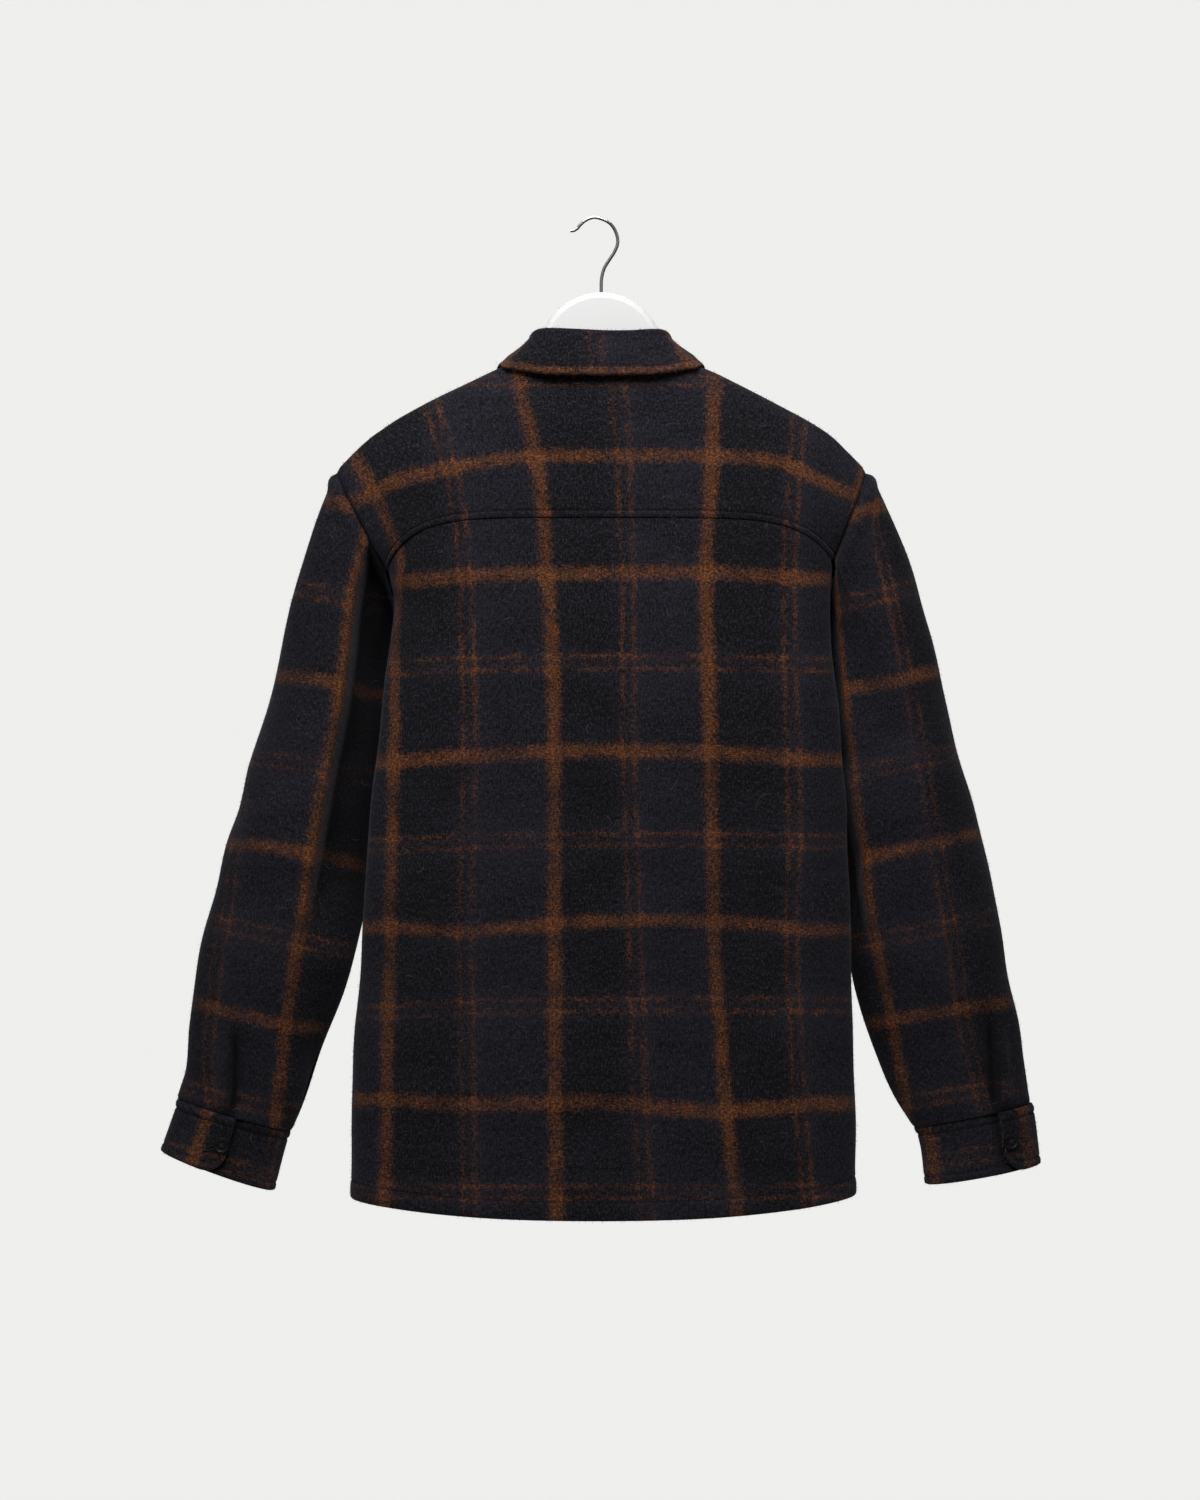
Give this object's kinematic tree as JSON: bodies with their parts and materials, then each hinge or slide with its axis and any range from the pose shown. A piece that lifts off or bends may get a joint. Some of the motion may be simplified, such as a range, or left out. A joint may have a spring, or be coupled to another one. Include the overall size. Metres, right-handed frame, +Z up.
{
  "type": "shacket on a hanger",
  "caption": "Checked brushed wool overshirt with collar, back yoke, buttoned front and cuffs, hanging on a domed white hanger with a steel wire hook.",
  "frame": {"origin": "the inner crown of the hanger's hook, where a rail carries it", "axes": "+Z up, the garment's back faces -Y and its front +Y, +X to the right seen from behind, which is the wearer's right"},
  "size_m": [0.8026, 0.1474, 0.8959],
  "materials": {
    "check_wool": "brushed navy-black wool with a rust windowpane check, hairy nap",
    "dark_buttons": "dark, softly polished",
    "white_hanger": "smooth white, satin",
    "steel_hook": "polished wire"
  },
  "bodies": {
    "root": {"back_panel": "check_wool", "back_yoke": "check_wool", "left_front": "check_wool", "right_front": "check_wool", "front_placket": "check_wool", "left_sleeve": "check_wool", "right_sleeve": "check_wool", "left_cuff": "check_wool", "right_cuff": "check_wool", "collar": "check_wool", "collar_stand": "check_wool", "front_button_1": "dark_buttons", "front_button_2": "dark_buttons", "front_button_3": "dark_buttons", "front_button_4": "dark_buttons", "front_button_5": "dark_buttons", "front_button_6": "dark_buttons", "stand_button": "dark_buttons", "left_cuff_button": "dark_buttons", "right_cuff_button": "dark_buttons", "hanger_body": "white_hanger", "hanger_hook": "steel_hook"}
  },
  "joints": []
}
